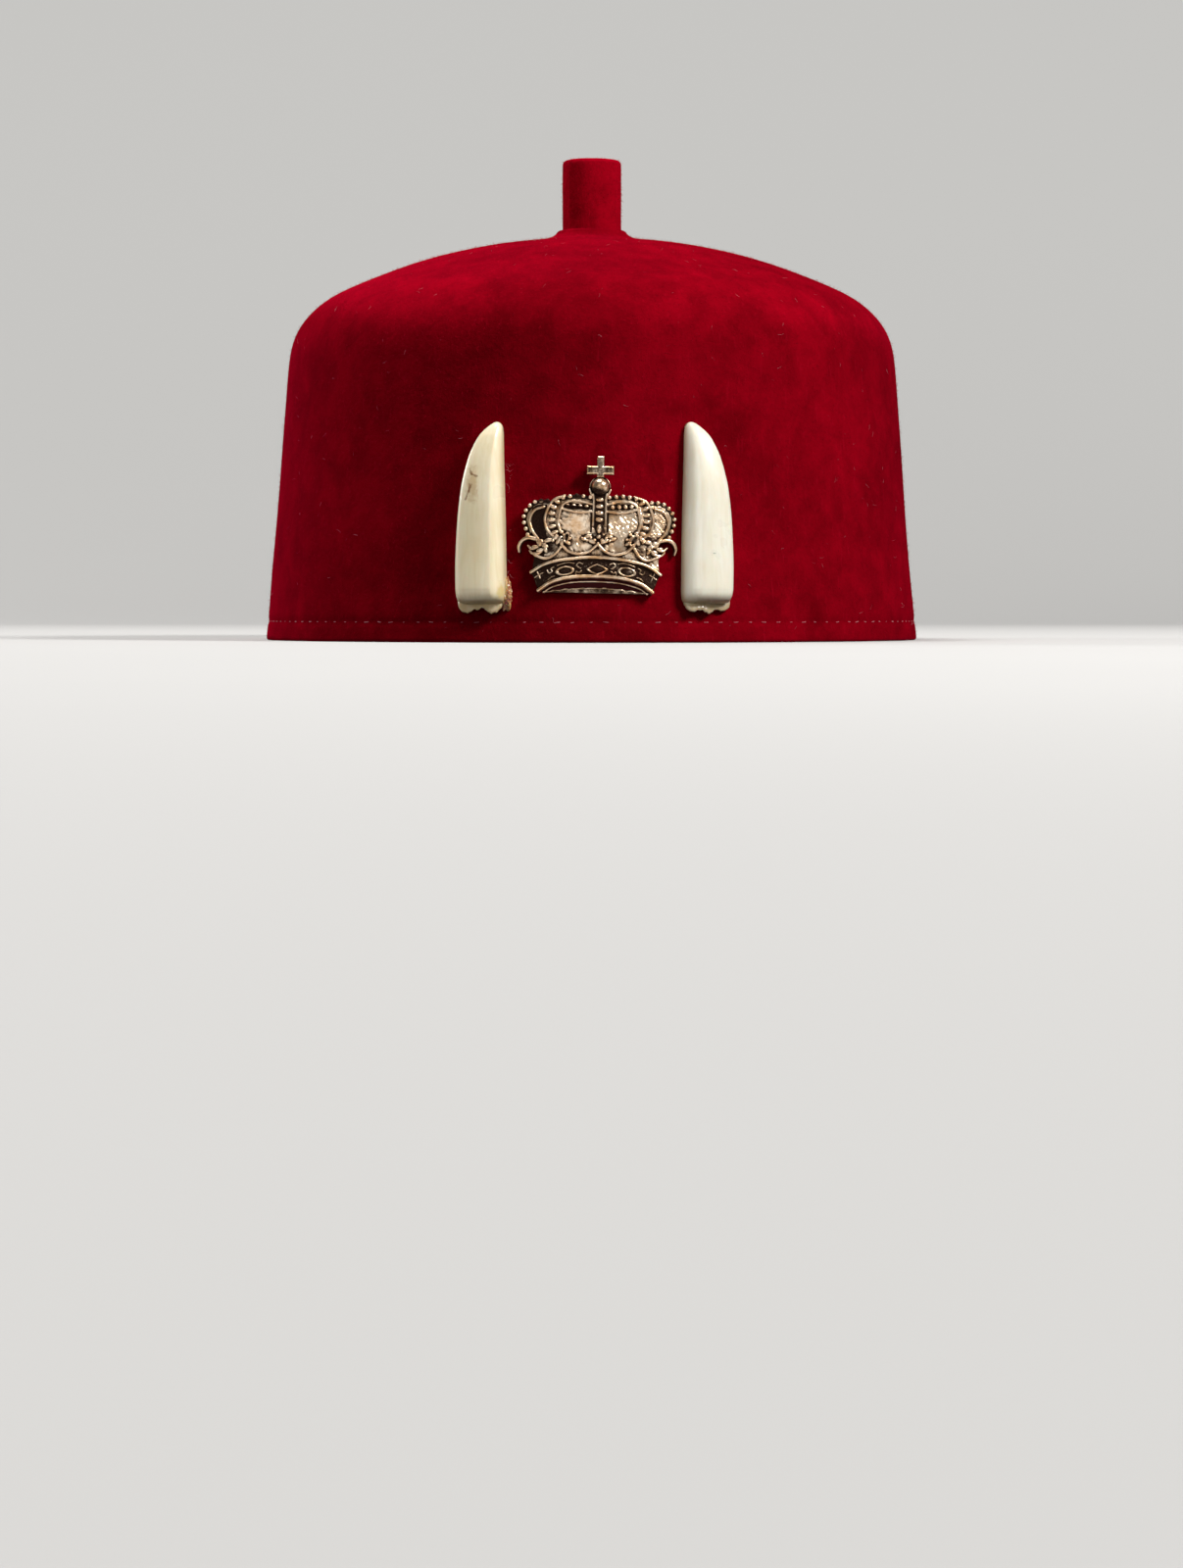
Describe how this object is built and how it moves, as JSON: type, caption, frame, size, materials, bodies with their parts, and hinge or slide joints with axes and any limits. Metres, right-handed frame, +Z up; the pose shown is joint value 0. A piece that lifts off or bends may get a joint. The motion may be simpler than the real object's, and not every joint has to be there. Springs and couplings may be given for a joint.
{
  "type": "chieftaincy cap",
  "caption": "Round red felt cap with a domed top and an upright felt stem, a cast crown badge and two ivory-coloured tusk plaques on the front wall, open below for the head.",
  "frame": {"origin": "centre of the hem, on the surface that the cap rests on", "axes": "+Z up through the stem, -Y out of the front of the cap where the badge is, +X to the right as seen from the front"},
  "size_m": [0.185, 0.1962, 0.1358],
  "materials": {
    "red_felt": "pressed wool felt with a short nap",
    "ivory": "satin moulded resin",
    "antique_gold": "cast, dark in the recesses and rubbed bright on the relief"
  },
  "bodies": {
    "root": {"crown": "red_felt", "stem": "red_felt", "tusk_left": "ivory", "tusk_right": "ivory", "badge": "antique_gold"}
  },
  "joints": []
}
